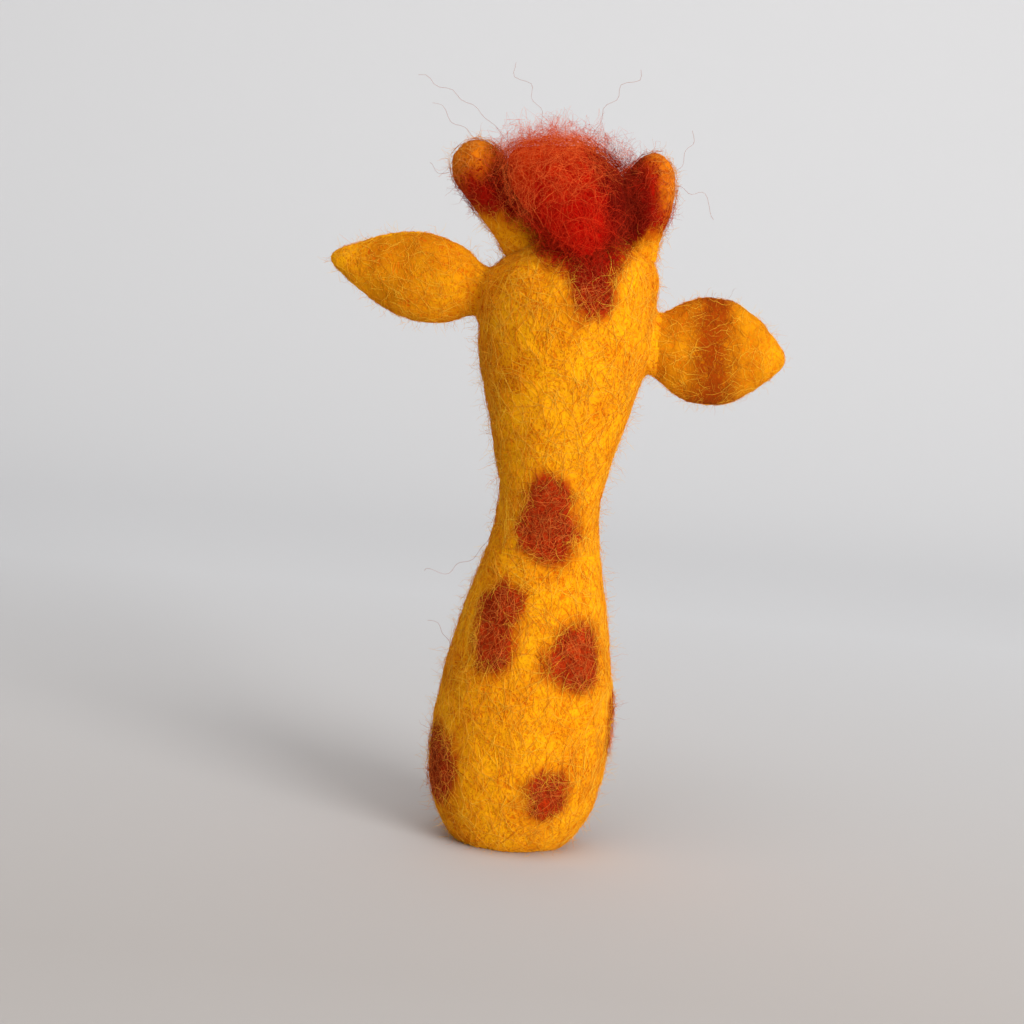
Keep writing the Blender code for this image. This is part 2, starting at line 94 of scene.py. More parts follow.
# %% [markdown]
# ## The camera
#
# The puppet is seen from behind, a little from above, and it leans a few degrees in the frame. A camera
# on the +Y side that is rolled by the same angle keeps the puppet itself upright. A long lens from 40 cm
# away gives the flat look of a close-up.

# %% Place the camera behind the puppet
CAMERA_AIM = Vector((0.00469, 0.00601, 0.05524))
CAMERA_ABOVE = math.radians(8.0)
CAMERA_ROLL = math.radians(5.5)
CAMERA_AWAY = 0.40
IMAGE_WIDTH = 1024
MM_PER_PIXEL = 0.165
FRAME_WIDTH = IMAGE_WIDTH * MM_PER_PIXEL * MM

forward = Vector((0.0, -math.cos(CAMERA_ABOVE), -math.sin(CAMERA_ABOVE)))
level_up = Vector((0.0, -math.sin(CAMERA_ABOVE), math.cos(CAMERA_ABOVE)))
level_right = forward.cross(level_up)
camera_up = level_up * math.cos(CAMERA_ROLL) - level_right * math.sin(CAMERA_ROLL)
camera_right = forward.cross(camera_up)

lens = bpy.data.cameras.new("close_up")
lens.sensor_width = 36.0
lens.lens = lens.sensor_width * CAMERA_AWAY / FRAME_WIDTH
lens.clip_start = 0.01
camera = bpy.data.objects.new("close_up", lens)
camera.matrix_world = Matrix.Translation(CAMERA_AIM - forward * CAMERA_AWAY) @ Matrix(
    (camera_right, camera_up, -forward)
).transposed().to_4x4()
bpy.context.scene.collection.objects.link(camera)
bpy.context.scene.camera = camera
bpy.context.scene.view_settings.view_transform = "Standard"
print("lens:", round(lens.lens, 1), "mm")

# %% [markdown]
# ## Wiring nodes from a script
#
# Materials and Geometry Nodes are the same kind of tree, so one helper serves both. It adds a node, sets
# its options, and gives each named input either a value or the output that feeds it.

# %% A helper that adds a wired node


def colour_of(red, green, blue):
    """A colour given from 0 to 255 a channel, as the linear colour that a shader takes."""
    channels = [value / 255 for value in (red, green, blue)]
    linear = [c / 12.92 if c <= 0.04045 else ((c + 0.055) / 1.055) ** 2.4 for c in channels]
    return (*linear, 1.0)


def socket_named(sockets, name):
    if isinstance(name, int):
        return sockets[name]
    return next(socket for socket in sockets if socket.name == name and socket.enabled)


def add_node(tree, kind, inputs=None, **options):
    node = tree.nodes.new(kind)
    for option, value in options.items():
        setattr(node, option, value)
    for name, value in (inputs or {}).items():
        socket = socket_named(node.inputs, name)
        if isinstance(value, bpy.types.NodeSocket):
            tree.links.new(value, socket)
        else:
            socket.default_value = value
    return node


def maths(tree, operation, *values):
    node = add_node(tree, "ShaderNodeMath", dict(enumerate(values)), operation=operation)
    return node.outputs[0]


def vector_maths(tree, operation, *values):
    node = add_node(tree, "ShaderNodeVectorMath", dict(enumerate(values)), operation=operation)
    return socket_named(node.outputs, "Value" if operation in ("LENGTH", "DOT_PRODUCT") else "Vector")


def scaled(tree, vector, factor):
    node = add_node(tree, "ShaderNodeVectorMath", {"Vector": vector, "Scale": factor}, operation="SCALE")
    return node.outputs["Vector"]


def mixed(tree, share, first, second):
    """A colour between two colours."""
    node = add_node(tree, "ShaderNodeMix", data_type="RGBA")
    for index, value in ((0, share), (6, first), (7, second)):
        if isinstance(value, bpy.types.NodeSocket):
            tree.links.new(value, node.inputs[index])
        else:
            node.inputs[index].default_value = value
    return node.outputs[2]


def new_material(name):
    """A material, its tree and its shader."""
    material = bpy.data.materials.new(name)
    material.use_nodes = True
    return material, material.node_tree, material.node_tree.nodes["Principled BSDF"]


def object_place(tree):
    return tree.nodes.new("ShaderNodeTexCoord").outputs["Object"]


def mesh_of(shape, name):
    """A mesh with a bmesh's faces. The bmesh goes."""
    mesh = bpy.data.meshes.new(name)
    shape.to_mesh(mesh)
    shape.free()
    return mesh


def add_object(name, mesh):
    piece = bpy.data.objects.new(name, mesh)
    bpy.context.scene.collection.objects.link(piece)
    return piece


# %% [markdown]
# ## Backdrop and light
#
# The setting is a pale seamless sweep: a floor that curves up into a wall, so that no horizon shows. One
# large soft lamp stands on the camera's right, a little above the puppet, a weak one washes the wall, and
# the pale world fills the shade.

# %% A seamless sweep
SWEEP_WIDTH = 2.4
FLOOR_TO_CAMERA = 0.9
FLOOR_BEHIND = 0.34
SWEEP_RADIUS = 0.30
WALL_HEIGHT = 1.3
PAPER_TURNS = (0.08, -0.22)  # the y where the near tone ends and the y where the far tone begins
# The near tone is darker than the far one: painted shade that evens out the extra lamp light that the flat
# floor takes.
PAPER_TONES = ((194, 190, 188), (225, 226, 229))


def sweep_point(along):
    """(y, z) at a distance along the sweep, from its edge nearest the camera."""
    flat = FLOOR_TO_CAMERA + FLOOR_BEHIND
    if along <= flat:
        return FLOOR_TO_CAMERA - along, 0.0
    turn = (along - flat) / SWEEP_RADIUS
    if turn <= math.pi / 2:
        y = -FLOOR_BEHIND - SWEEP_RADIUS * math.sin(turn)
        return y, SWEEP_RADIUS * (1 - math.cos(turn))
    height = along - flat - SWEEP_RADIUS * math.pi / 2 + SWEEP_RADIUS
    return -FLOOR_BEHIND - SWEEP_RADIUS, height


def sweep_mesh():
    length = FLOOR_TO_CAMERA + FLOOR_BEHIND + SWEEP_RADIUS * math.pi / 2 + WALL_HEIGHT
    shape = bmesh.new()
    bmesh.ops.create_grid(shape, x_segments=1, y_segments=80, size=0.5)
    for vert in shape.verts:
        y, z = sweep_point((0.5 - vert.co.y) * length)
        vert.co = (vert.co.x * SWEEP_WIDTH, y, z)
    mesh = mesh_of(shape, "sweep")
    mesh.shade_smooth()
    return mesh


sweep_paper, paper_tree, paper_shader = new_material("sweep_paper")
paper_depth = add_node(paper_tree, "ShaderNodeSeparateXYZ", {0: object_place(paper_tree)}).outputs["Y"]
to_the_wall = add_node(
    paper_tree, "ShaderNodeMapRange",
    {"Value": paper_depth, "From Min": PAPER_TURNS[0], "From Max": PAPER_TURNS[1]},
).outputs[0]
paper_colour = mixed(paper_tree, to_the_wall, *[colour_of(*tone) for tone in PAPER_TONES])
paper_tree.links.new(paper_colour, paper_shader.inputs["Base Color"])
paper_shader.inputs["Roughness"].default_value = 0.9
paper_shader.inputs["Specular IOR Level"].default_value = 0.1
sweep = add_object("sweep", sweep_mesh())
sweep.data.materials.append(sweep_paper)

# %% Two soft lamps and a pale world


def add_lamp(name, place, aim, size, power, tint=(1.0, 1.0, 1.0)):
    data = bpy.data.lights.new(name, "AREA")
    data.shape = "DISK"
    data.size = size
    data.energy = power
    data.color = tint
    lamp = bpy.data.objects.new(name, data)
    lamp.location = place
    lamp.rotation_euler = (Vector(aim) - Vector(place)).to_track_quat("-Z", "Y").to_euler()
    bpy.context.scene.collection.objects.link(lamp)


PUPPET_MIDDLE = (0.0, 0.0, 0.06)
add_lamp("window", (-0.56, 0.68, 0.27), PUPPET_MIDDLE, size=0.50, power=7.4, tint=(1.0, 0.985, 0.96))
add_lamp("wall_wash", (0.0, 0.25, 0.95), (0.0, -0.6, 0.35), size=0.8, power=3.0)

world = bpy.data.worlds.new("pale_room")
world.use_nodes = True
world.node_tree.nodes["Background"].inputs["Color"].default_value = (1.0, 0.97, 0.93, 1.0)
world.node_tree.nodes["Background"].inputs["Strength"].default_value = 0.42
bpy.context.scene.world = world

# %% [markdown]
# ## Where the dyed wool goes
#
# A spot is a patch of rust wool laid on the gold and stabbed in, so its edge is ragged by single fibres.
# The outline comes from the modelled patch. Each vertex of the felt keeps its distance to the nearest
# outline, and the material and the fibres decide for themselves how raggedly they cross it.

# %% Measure the outline of each modelled patch
OUTLINE_STEPS = 48
OUTLINE_WINDOW = math.tau / 24
FAR_FROM_DYE = 20.0


def corners_of(node):
    return np.array([vert.co for vert in frame["nodes"][node].data.vertices], float)


def patch_frame(node, outwards):
    """Centre, across, along and outwards of a patch that was laid on the side that faces outwards."""
    out = Vector(outwards).normalized()
    across = Vector((0.0, 0.0, 1.0)).cross(out).normalized()
    low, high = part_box(node)
    return np.array((low + high) / 2), np.array(across), np.array(out.cross(across)), np.array(out)


def reach_by_angle(points, centre, across, along):
    """How far the outline lies from its centre, for even steps of angle."""
    flat = points - centre
    x, y = flat @ across, flat @ along
    angle = np.arctan2(y, x)
    steps = np.linspace(-math.pi, math.pi, OUTLINE_STEPS, endpoint=False)
    found, reach = [], []
    for step in steps:
        near = np.abs((angle - step + math.pi) % math.tau - math.pi) < OUTLINE_WINDOW
        if near.any():
            found.append(step)
            reach.append(np.hypot(x[near], y[near]).max())
    return found, reach


def distance_to_patch(places, node, outwards, depth=4 * MM):
    """Signed distance in mm from the outline of a patch, less than nothing inside it."""
    centre, across, along, out = patch_frame(node, outwards)
    steps, reach = reach_by_angle(corners_of(node), centre, across, along)
    flat = places - centre
    x, y = flat @ across, flat @ along
    edge = np.interp(np.arctan2(y, x), steps, reach, period=math.tau)
    distance = (np.hypot(x, y) - edge) / MM
    behind = (flat @ out) < -depth
    return np.where(behind, FAR_FROM_DYE, distance)


# %% [markdown]
# ## Felt from solids
#
# Felt has no edges: the wool of a spot and the wool around it are one skin. Joining the solids, with each
# patch grown a little so that it meets its pocket, and wrapping the lot in a fresh skin of small even
# squares gives that. Low soft lumps then break up the smooth form, as a needle leaves them.

# %% Join solids and wrap them in one skin
SKIN_VOXEL = 0.60 * MM
PATCH_GROWTH = 0.45 * MM


def merged_copy(node, growth=0.0, shift=Vector()):
    """The node's mesh as a bmesh with its loose triangles merged, grown along its normals."""
    shape = bmesh.new()
    shape.from_mesh(frame["nodes"][node].data)
    bmesh.ops.remove_doubles(shape, verts=shape.verts, dist=0.002 * MM)
    shape.normal_update()
    for vert in shape.verts:
        vert.co += vert.normal * growth + shift
    return shape


def joined(shapes, name):
    everything = bmesh.new()
    for shape in shapes:
        part = mesh_of(shape, "part")
        everything.from_mesh(part)
        bpy.data.meshes.remove(part)
    return mesh_of(everything, name)


def evaluated_mesh(holder, name):
    """The object's mesh with its modifiers applied. The object itself goes."""
    graph = bpy.context.evaluated_depsgraph_get()
    mesh = bpy.data.meshes.new_from_object(holder.evaluated_get(graph), depsgraph=graph)
    mesh.name = name
    bpy.data.objects.remove(holder)
    return mesh


def wrapped(mesh, voxel=SKIN_VOXEL, smoothing=6):
    """A new skin round a mesh."""
    name = mesh.name
    holder = add_object("skin_holder", mesh)
    remesh = holder.modifiers.new("wrap", "REMESH")
    remesh.mode = "VOXEL"
    remesh.voxel_size = voxel
    remesh.use_smooth_shade = True
    ease = holder.modifiers.new("ease", "SMOOTH")
    ease.factor = 0.5
    ease.iterations = smoothing
    return evaluated_mesh(holder, name)


# %% [markdown]
# A small Geometry Nodes tree makes the lumps: two noises push the skin in and out along its normals.

# %% Steps that every geometry tree shares
SOCKETS = {float: "NodeSocketFloat", int: "NodeSocketInt", tuple: "NodeSocketVector"}


def new_geometry_tree(name, **inputs):
    """A tree with a named input for each value, of the value's own kind. None stands for a material."""
    tree = bpy.data.node_groups.new(name, "GeometryNodeTree")
    tree.interface.new_socket("Geometry", in_out="INPUT", socket_type="NodeSocketGeometry")
    for input_name, value in inputs.items():
        kind = SOCKETS.get(type(value), "NodeSocketMaterial")
        socket = tree.interface.new_socket(input_name.replace("_", " "), in_out="INPUT", socket_type=kind)
        if value is not None:
            socket.default_value = value
    tree.interface.new_socket("Geometry", in_out="OUTPUT", socket_type="NodeSocketGeometry")
    given = tree.nodes.new("NodeGroupInput")
    return tree, given.outputs


def end_tree(tree, geometry):
    tree.links.new(geometry, tree.nodes.new("NodeGroupOutput").inputs[0])


def position(tree):
    return tree.nodes.new("GeometryNodeInputPosition").outputs[0]


def moved(tree, geometry, way, vector):
    """The geometry with its points set to a Position or shifted by an Offset, as the way says."""
    return add_node(tree, "GeometryNodeSetPosition", {"Geometry": geometry, way: vector}).outputs[0]


def run_tree(tree, mesh, name, **values):
    """Applies a tree to a copy of a mesh and gives the result as a plain mesh."""
    holder = add_object("tree_holder", mesh.copy())
    modifier = holder.modifiers.new(tree.name, "NODES")
    modifier.node_group = tree
    sockets = {item.name: item.identifier for item in tree.interface.items_tree if item.in_out == "INPUT"}
    for value_name, value in values.items():
        modifier[sockets[value_name.replace("_", " ")]] = value
    return evaluated_mesh(holder, name)


def noise(tree, where, scale, seed, detail):
    return add_node(
        tree, "ShaderNodeTexNoise", {"Vector": where, "W": seed, "Scale": scale, "Detail": detail},
        noise_dimensions="4D",
    ).outputs


def noise_vector(tree, where, scale, seed):
    """Noise from -1 to 1 in each direction."""
    colour = noise(tree, where, scale, seed, 1.0)["Color"]
    return scaled(tree, vector_maths(tree, "SUBTRACT", colour, (0.5, 0.5, 0.5)), 2.0)


# %% The tree that makes felt lumpy


def lumpy_felt_tree():
    tree, given = new_geometry_tree(
        "lumpy_felt", Lump_height=0.25 * MM, Lump_size=6.0 * MM, Pit_height=0.10 * MM, Pit_size=1.3 * MM
    )
    place = position(tree)
    push = None
    for height, size, seed in (("Lump height", "Lump size", 3.0), ("Pit height", "Pit size", 8.0)):
        frequency = maths(tree, "DIVIDE", 1.0, given[size])
        rise = vector_maths(
            tree, "DOT_PRODUCT", noise_vector(tree, place, frequency, seed), (1.0, 1.0, 1.0)
        )
        part = maths(tree, "MULTIPLY", rise, given[height])
        push = part if push is None else maths(tree, "ADD", push, part)
    normal = tree.nodes.new("GeometryNodeInputNormal").outputs[0]
    end_tree(tree, moved(tree, given["Geometry"], "Offset", scaled(tree, normal, push)))
    return tree


LUMPY_FELT = lumpy_felt_tree()

# %% Write a number on every vertex


def places_of(mesh):
    places = np.empty(len(mesh.vertices) * 3, np.float32)
    mesh.vertices.foreach_get("co", places)
    return places.reshape(-1, 3).astype(float)


def write_number(mesh, name, values):
    layer = mesh.attributes.get(name) or mesh.attributes.new(name, "FLOAT", "POINT")
    layer.data.foreach_set("value", np.asarray(values, np.float32))


# %% [markdown]
# ## What wool looks like
#
# Wool is matt with a soft warm bloom at glancing angles. Up close it is a mat of curly hairs, paler than
# the shade between them. A contour line of a smooth noise wanders and curls as a hair does, so the felt's
# own skin gets layers of such lines, as a colour and as a bump. The loose hairs that lie on it are real
# geometry and take one tone each. One table names every wool by four colours.

# %% The wools, by the colours of their felt and of their hairs
WOOLS = {
    "gold": ((208, 94, 4), (252, 174, 14), (232, 128, 8), (255, 206, 62)),
    "rust": ((104, 10, 4), (188, 52, 12), (150, 30, 6), (250, 136, 62)),
    "honey": ((120, 36, 4), (158, 60, 4), (146, 56, 6), (216, 112, 30)),
    "blood": ((128, 6, 2), (180, 16, 6), (146, 12, 4), (214, 76, 40)),
    # This darkest red is painted shade, laid where the tuft and the horns lie in shadow, not a wool of the
    # puppet.
    "shade_wine": ((80, 2, 2), (124, 6, 2), (100, 4, 2), (180, 46, 24)),
    "ochre": ((176, 66, 8), (226, 122, 16), (176, 62, 8), (252, 184, 84)),
    "flame": ((184, 18, 2), (244, 72, 6), (214, 34, 2), (255, 128, 60)),
    "crimson": ((144, 2, 2), (206, 14, 4), (176, 8, 4), (236, 62, 28)),
    "umber": ((44, 20, 12), (92, 48, 30), (52, 26, 18), (110, 64, 44)),
}
BLOOM_TINT = {"gold": (255, 190, 70), "flame": (255, 120, 70), "umber": (150, 100, 70)}


def felt_tones(wool):
    return [colour_of(*channels) for channels in WOOLS[wool][:2]]


def hair_tones(wool):
    return [colour_of(*channels) for channels in WOOLS[wool][2:]]


# %% Draw hairs on a felt skin
DRAWN_CURL = 0.9 * MM
DRAWN_STRETCH = 2.6
DRAWN_TURNS = ((0.0, 0.0), (0.35, 0.3), (-0.3, -0.4), (0.9, 0.8), (-0.8, -1.0))
DRAWN_EDGE = 0.055
DRAWN_MIDDLE = 0.006
DRAWN_BEND = 1.5 * MM
DRAWN_BEND_SIZE = 5 * MM


def noise_value(tree, where, scale, seed, detail):
    return noise(tree, where, scale, seed, detail)["Fac"]


def faded(tree, value, nothing, full):
    """0 where the value is at the first limit, 1 where it is at the second."""
    return add_node(
        tree, "ShaderNodeMapRange",
        {"Value": value, "From Min": nothing, "From Max": full, "To Min": 0.0, "To Max": 1.0},
        interpolation_type="SMOOTHSTEP",
    ).outputs[0]


def drawn_hairs(tree, place):
    """1 on a drawn hair and 0 between hairs."""
    bend = noise_vector(tree, place, 1 / DRAWN_BEND_SIZE, 4.0)
    bent = vector_maths(tree, "ADD", place, scaled(tree, bend, DRAWN_BEND))
    strongest = None
    for index, (about_x, about_y) in enumerate(DRAWN_TURNS):
        turned = add_node(
            tree, "ShaderNodeMapping",
            {
                "Vector": bent, "Rotation": (about_x, about_y, 0.7 * index),
                "Scale": (1.0, 1.0, DRAWN_STRETCH),
            },
            vector_type="TEXTURE",
        ).outputs[0]
        level = noise_value(tree, turned, 1 / DRAWN_CURL, 10.0 + 3.0 * index, 1.0)
        off_line = maths(tree, "ABSOLUTE", maths(tree, "SUBTRACT", level, 0.5))
        line = faded(tree, off_line, DRAWN_EDGE, DRAWN_MIDDLE)
        strongest = line if strongest is None else maths(tree, "MAXIMUM", strongest, line)
    return strongest


# %% Lay dyes over a ground colour
WANDERS = ((0.5, 2.8 * MM, 6.0, 5.4), (0.3, 0.6 * MM, 2.0, 2.0))  # height share, size, seed, strength
FELT_EDGE = 1.5
FELT_EDGE_SHIFT = -0.1
FELT_MIXING = -1.0
HAIR_EDGE = 0.8
HAIR_EDGE_SHIFT = 0.3
HAIR_MIXING = 1.8
DYE_STRAYS = {"band_edge": 0.3}


def wander(tree, place):
    """How far a dye's outline strays from its drawn line, in mm: more up and down than sideways."""
    total = None
    for height, size, seed, strength in WANDERS:
        drawn_out = vector_maths(tree, "MULTIPLY", place, (1.0, 1.0, height))
        centred = maths(tree, "SUBTRACT", noise_value(tree, drawn_out, 1 / size, seed, 3.0), 0.5)
        part = maths(tree, "MULTIPLY", centred, strength)
        total = part if total is None else maths(tree, "ADD", total, part)
    return total


def dyed(tree, place, tone, ragged, softness, ground, dyes):
    """The ground's colour, with each dye over it inside the outline that an attribute measures."""
    strayed = wander(tree, place)
    colour = mixed(tree, tone, *ground)
    for outline, pair in dyes:
        edge = add_node(tree, "ShaderNodeAttribute", attribute_name=outline).outputs["Fac"]
        own = maths(tree, "MULTIPLY", strayed, DYE_STRAYS.get(outline, 1.0))
        edge = maths(tree, "ADD", edge, maths(tree, "ADD", own, ragged))
        colour = mixed(tree, faded(tree, edge, softness, -softness), colour, mixed(tree, tone, *pair))
    return colour


MOTTLE_SIZE = 6 * MM
MOTTLE_STRENGTH = 1.9
HAIR_STRENGTH = 0.55
DARKEST_TONE = 0.28


def colour_wool(tree, shader, colour, bloom, tint):
    shader.inputs["Roughness"].default_value = 0.95
    shader.inputs["Specular IOR Level"].default_value = 0.03
    shader.inputs["Sheen Weight"].default_value = bloom
    shader.inputs["Sheen Roughness"].default_value = 0.5
    shader.inputs["Sheen Tint"].default_value = colour_of(*tint)
    tree.links.new(colour, shader.inputs["Base Color"])


def felt_material(name, wool, dyes=()):
    material, tree, shader = new_material(name)
    place = object_place(tree)
    hair = drawn_hairs(tree, place)
    mottle = maths(tree, "SUBTRACT", noise_value(tree, place, 1 / MOTTLE_SIZE, 7.0, 4.0), 0.5)
    mottle = maths(tree, "MULTIPLY", mottle, MOTTLE_STRENGTH)
    tone = maths(tree, "ADD", maths(tree, "MULTIPLY", hair, HAIR_STRENGTH), mottle)
    tone = add_node(tree, "ShaderNodeClamp", {"Value": maths(tree, "ADD", tone, DARKEST_TONE)}).outputs[0]
    own = maths(tree, "MULTIPLY", maths(tree, "SUBTRACT", hair, 0.5), FELT_MIXING)
    ragged = maths(tree, "ADD", own, FELT_EDGE_SHIFT)
    dye_tones = [(outline, felt_tones(dye)) for outline, dye in dyes]
    colour = dyed(tree, place, tone, ragged, FELT_EDGE, felt_tones(wool), dye_tones)
    colour_wool(tree, shader, colour, 0.12, BLOOM_TINT[wool])
    bump = add_node(tree, "ShaderNodeBump", {"Strength": 0.7, "Distance": 0.12 * MM, "Height": hair})
    tree.links.new(bump.outputs[0], shader.inputs["Normal"])
    return material


def hair_material(name, wool, dyes=()):
    """Single hairs of the same wool. Each hair keeps the dye of the place where it is rooted."""
    material, tree, shader = new_material(name)
    root = add_node(tree, "ShaderNodeAttribute", attribute_name="root_place").outputs["Vector"]
    tone = add_node(tree, "ShaderNodeAttribute", attribute_name="tone").outputs["Fac"]
    own = maths(tree, "MULTIPLY", maths(tree, "SUBTRACT", tone, 0.5), HAIR_MIXING)
    ragged = maths(tree, "ADD", own, HAIR_EDGE_SHIFT)
    dye_tones = [(outline, hair_tones(dye)) for outline, dye in dyes]
    colour = dyed(tree, root, tone, ragged, HAIR_EDGE, hair_tones(wool), dye_tones)
    colour_wool(tree, shader, colour, 0.08, BLOOM_TINT[wool])
    return material


PUPPET_DYES = (("band_edge", "honey"), ("spot_edge", "rust"), ("blush_edge", "blood"))
# On the horns the red wool near the tuft is laid in the darkest red, which is painted shade.
HORN_DYES = (("horn_edge", "blood"), ("tip_edge", "ochre"), ("blush_edge", "shade_wine"))
# The tuft's second dye is painted shade in the darkest red.
TUFT_DYES = (("deep_red_and_shade_edge", "crimson"), ("painted_shade_edge", "shade_wine"))
gold_felt = felt_material("gold_felt", "gold", PUPPET_DYES)
gold_hair = hair_material("gold_hair", "gold", PUPPET_DYES)
horn_felt = felt_material("horn_felt", "gold", HORN_DYES)
horn_hair = hair_material("horn_hair", "gold", HORN_DYES)
tuft_felt = felt_material("tuft_felt", "flame", TUFT_DYES)
tuft_hair = hair_material("tuft_hair", "flame", TUFT_DYES)
dab_felt = felt_material("dab_felt", "umber")
dab_hair = hair_material("dab_hair", "umber")

# %% [markdown]
# ## Hairs that lie on the felt
#
# Even firm felt has a nap. Each hair is a short line set on the skin, turned at random round the normal,
# bent by noise, laid back on the skin and lifted by a hair's breadth, and its ends lift a little more.
# One tree makes them all, and the sizes are its inputs.

# %% Steps that both hair trees share
LOWEST_HAIR = 0.05 * MM
TONE_TO_SEED = 900.0


def stored(tree, geometry, name, value, kind="FLOAT", domain="POINT"):
    return add_node(
        tree, "GeometryNodeStoreNamedAttribute", {"Geometry": geometry, "Name": name, "Value": value},
        data_type=kind, domain=domain,
    ).outputs[0]


def stored_number(tree, name):
    node = add_node(tree, "GeometryNodeInputNamedAttribute", {"Name": name}, data_type="FLOAT")
    return node.outputs["Attribute"]


def hairs_begin(tree, given):
    """Points on the skin, each with its place, its dye and a random tone."""
    scattered = add_node(
        tree, "GeometryNodeDistributePointsOnFaces",
        {"Mesh": given["Geometry"], "Density": given["Density"], "Seed": given["Seed"]},
    )
    random_tone = add_node(tree, "FunctionNodeRandomValue", {"Seed": 11}, data_type="FLOAT")
    toned = stored(tree, scattered.outputs["Points"], "tone", random_tone.outputs["Value"])
    points = stored(tree, toned, "root_place", position(tree), "FLOAT_VECTOR")
    return points, scattered.outputs["Normal"]


def random_value(tree, kind, low, high, seed):
    node = add_node(
        tree, "FunctionNodeRandomValue", {"Min": low, "Max": high, "Seed": seed}, data_type=kind
    )
    return socket_named(node.outputs, "Value")


def random_between(tree, low, high, seed):
    return random_value(tree, "FLOAT", low, high, seed)


def random_direction(tree, seed):
    return random_value(tree, "FLOAT_VECTOR", (-1.0, -1.0, -1.0), (1.0, 1.0, 1.0), seed)


def hair_line(tree, start, end, joints):
    line = add_node(tree, "GeometryNodeCurvePrimitiveLine", {"Start": start, "End": end})
    return add_node(
        tree, "GeometryNodeResampleCurve", {"Curve": line.outputs[0], "Count": joints}
    ).outputs[0]


def hairs_end(tree, given, curves):
    """Three-sided tubes that taper to both ends, in the piece's material. None goes through the floor."""
    above_floor = vector_maths(tree, "MAXIMUM", position(tree), (-1.0, -1.0, LOWEST_HAIR))
    curves = moved(tree, curves, "Position", above_floor)
    share = tree.nodes.new("GeometryNodeSplineParameter").outputs["Factor"]
    from_middle = maths(tree, "ABSOLUTE", maths(tree, "SUBTRACT", share, 0.5))
    taper = maths(tree, "SUBTRACT", 1.15, maths(tree, "MULTIPLY", from_middle, 1.5))
    section = add_node(
        tree, "GeometryNodeCurvePrimitiveCircle", {"Resolution": 3, "Radius": given["Thickness"]}
    )
    tubes = add_node(
        tree, "GeometryNodeCurveToMesh",
        {"Curve": curves, "Profile Curve": section.outputs[0], "Scale": taper, "Fill Caps": True},
    )
    smooth = add_node(
        tree, "GeometryNodeSetShadeSmooth", {"Geometry": tubes.outputs[0], "Shade Smooth": True}
    )
    real = add_node(tree, "GeometryNodeRealizeInstances", {"Geometry": smooth.outputs[0]})
    dressed = add_node(
        tree, "GeometryNodeSetMaterial", {"Geometry": real.outputs[0], "Material": given["Material"]}
    )
    end_tree(tree, dressed.outputs[0])


# %% The tree for lying hairs


def nearest_on_skin(tree, given, value):
    """A value of the skin, where the skin is nearest to each point."""
    return add_node(
        tree, "GeometryNodeSampleNearestSurface",
        {"Mesh": given["Geometry"], "Value": value, "Sample Position": position(tree)},
        data_type="FLOAT_VECTOR",
    ).outputs[0]


def lying_hairs_tree():
    tree, given = new_geometry_tree(
        "lying_hairs", Density=8.0e5, Shortest=2.5 * MM, Longest=6.5 * MM, Thickness=0.042 * MM, Joints=6,
        Lowest=0.02 * MM, Highest=0.14 * MM, End_lift=0.30 * MM, Bend=1.0 * MM, Bend_size=2.0 * MM,
        Wave=0.0, Lay=(0.0, 0.0, 1.0), Lay_strength=0.7, Seed=1, Material=None,
    )
    points, normal = hairs_begin(tree, given)
    towards = vector_maths(
        tree, "ADD", random_direction(tree, 21), scaled(tree, given["Lay"], given["Lay strength"])
    )
    turned = add_node(
        tree, "FunctionNodeAxesToRotation", {"Primary Axis": normal, "Secondary Axis": towards},
        primary_axis="Z", secondary_axis="X",
    )
    length = random_between(tree, given["Shortest"], given["Longest"], 31)
    line = hair_line(tree, (-0.5, 0.0, 0.0), (0.5, 0.0, 0.0), given["Joints"])
    placed = add_node(
        tree, "GeometryNodeInstanceOnPoints",
        {"Points": points, "Instance": line, "Rotation": turned.outputs[0], "Scale": length},
    )
    own_height = random_between(tree, given["Lowest"], given["Highest"], 41)
    raised = stored(tree, placed.outputs[0], "height", own_height, domain="INSTANCE")
    curves = add_node(tree, "GeometryNodeRealizeInstances", {"Geometry": raised}).outputs[0]

    place = position(tree)
    tone = stored_number(tree, "tone")
    own_seed = maths(tree, "MULTIPLY", tone, TONE_TO_SEED)
    frequency = maths(tree, "DIVIDE", 1.0, given["Bend size"])
    bend = scaled(tree, noise_vector(tree, place, frequency, own_seed), given["Bend"])
    bent = moved(tree, curves, "Offset", bend)

    on_skin = nearest_on_skin(tree, given, place)
    skin_normal = nearest_on_skin(tree, given, tree.nodes.new("GeometryNodeInputNormal").outputs[0])
    share = tree.nodes.new("GeometryNodeSplineParameter").outputs["Factor"]
    from_middle = maths(tree, "MULTIPLY", maths(tree, "ABSOLUTE", maths(tree, "SUBTRACT", share, 0.5)), 2.0)
    end = maths(tree, "MULTIPLY", maths(tree, "POWER", from_middle, 3.0), given["End lift"])
    wave = maths(tree, "SUBTRACT", noise_value(tree, place, frequency, own_seed, 0.0), 0.5)
    wave = maths(tree, "MULTIPLY", maths(tree, "MULTIPLY", wave, 2.0), given["Wave"])
    height = maths(tree, "MULTIPLY", stored_number(tree, "height"), maths(tree, "ADD", 1.0, wave))
    lift = maths(tree, "ADD", height, maths(tree, "MULTIPLY", end, tone))
    lifted = vector_maths(tree, "ADD", on_skin, scaled(tree, skin_normal, lift))
    hairs_end(tree, given, moved(tree, bent, "Position", lifted))
    return tree


LYING_HAIRS = lying_hairs_tree()

# %% [markdown]
# ## Hairs that stand off the felt
#
# Handling pulls single hairs out of the mat, and they make the soft halo round the outline. They are
# thinner, rooted at one end, and curl more the further they reach.

# %% The tree for standing hairs


